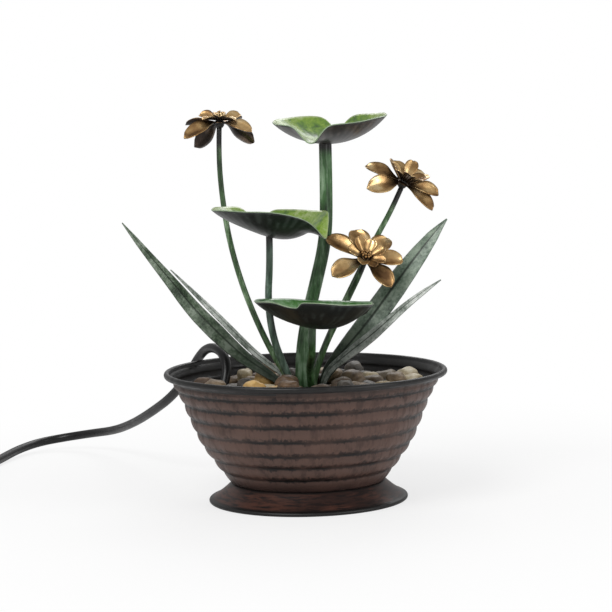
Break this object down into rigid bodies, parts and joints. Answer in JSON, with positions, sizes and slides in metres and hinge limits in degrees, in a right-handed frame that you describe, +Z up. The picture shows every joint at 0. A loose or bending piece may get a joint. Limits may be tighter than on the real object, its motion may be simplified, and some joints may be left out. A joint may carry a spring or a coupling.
{
  "type": "tabletop fountain with submersible pump",
  "caption": "Tabletop fountain: ribbed metal bowl of river pebbles, lily pad cups, metal flowers and blade leaves, fed by a hidden submersible pump on a mains cord.",
  "frame": {"origin": "centre of the foot's resting ring, at the height of the table", "axes": "+Z up; -Y is the front, where the spill lips of the top and low leaves face; +X is the right seen from the front"},
  "size_m": [0.4739, 0.3869, 0.2984],
  "materials": {
    "bowl_metal": "antiqued brown over black, satin",
    "foot_metal": "antiqued brown over black, satin",
    "tray_plastic": "moulded, matt",
    "hub_metal": "painted, satin",
    "stem_green": "mottled green enamel, semi-gloss",
    "leaf_green": "mottled green enamel, semi-gloss",
    "blade_green": "grey green enamel, satin",
    "flower_gold": "antiqued gold, satin",
    "stone_tan": "tumbled, satin",
    "stone_grey": "tumbled, satin",
    "stone_brown": "tumbled, satin",
    "stone_pale": "tumbled, satin",
    "pump_black": "moulded, fine matt",
    "impeller_plastic": "moulded, semi-gloss",
    "steel_core": "laminated steel",
    "copper_winding": "enamelled copper wire",
    "potting_resin": "cast resin",
    "ferrite": "ground ferrite",
    "shaft_ceramic": "ground",
    "seal_rubber": "moulded rubber",
    "sponge_foam": "open cell foam",
    "hose_silicone": "silicone",
    "cord_black": "smooth jacket, semi-gloss",
    "plug_metal": "bright"
  },
  "bodies": {
    "base": {"bowl": "bowl_metal", "foot": "foot_metal", "pump_housing": "pump_black", "stator_core": "steel_core", "stator_coil": "copper_winding", "motor_potting": "potting_resin", "cord_gland": "seal_rubber", "rotor_shaft": "shaft_ceramic", "shaft_bushes": "seal_rubber", "chamber_cover": "pump_black", "cover_o_ring": "seal_rubber", "suction_cups": "seal_rubber", "cord_lead": "cord_black", "cord_coil": "cord_black", "cord_tail": "cord_black", "plug_body": "cord_black", "plug_blades": "plug_metal", "plug_ground_pin": "plug_metal"},
    "impeller": {"impeller": "impeller_plastic", "rotor_magnet": "ferrite"},
    "intake_cover": {"intake_cover": "pump_black", "intake_sponge": "sponge_foam"},
    "flow_gate": {"flow_gate": "pump_black"},
    "display": {"blade_left_broad": "blade_green", "blade_left_slim": "blade_green", "blade_right_broad": "blade_green", "blade_right_slim": "blade_green", "flower_front_inner_petals": "flower_gold", "flower_front_outer_petals": "flower_gold", "flower_front_stamens": "flower_gold", "flower_left_inner_petals": "flower_gold", "flower_left_outer_petals": "flower_gold", "flower_left_stamens": "flower_gold", "flower_right_inner_petals": "flower_gold", "flower_right_outer_petals": "flower_gold", "flower_right_stamens": "flower_gold", "flower_stem_front": "stem_green", "flower_stem_left": "stem_green", "flower_stem_right": "stem_green", "hub_plate": "hub_metal", "leaf_cup_low": "leaf_green", "leaf_cup_middle": "leaf_green", "leaf_cup_top": "leaf_green", "leaf_stem_low": "stem_green", "leaf_stem_middle": "stem_green", "pebble_tray": "tray_plastic", "pebbles_brown": "stone_brown", "pebbles_grey": "stone_grey", "pebbles_pale": "stone_pale", "pebbles_tan": "stone_tan", "water_hose": "hose_silicone", "water_stem": "stem_green"}
  },
  "joints": [
    {"name": "display_lift", "type": "slide", "parent": "base", "child": "display", "axis": [0, 0, 1], "range_m": [0, 0.12]},
    {"name": "impeller_spin", "type": "hinge", "parent": "base", "child": "impeller", "pos_m": [-0.003, -0.002, 0.0425], "axis": [0, 1, 0], "continuous": true},
    {"name": "intake_cover_slide", "type": "slide", "parent": "base", "child": "intake_cover", "axis": [0, 1, 0], "range_m": [0, 0.02]},
    {"name": "flow_gate_slide", "type": "slide", "parent": "intake_cover", "child": "flow_gate", "axis": [1, 0, 0], "range_m": [0, 0.004]}
  ]
}
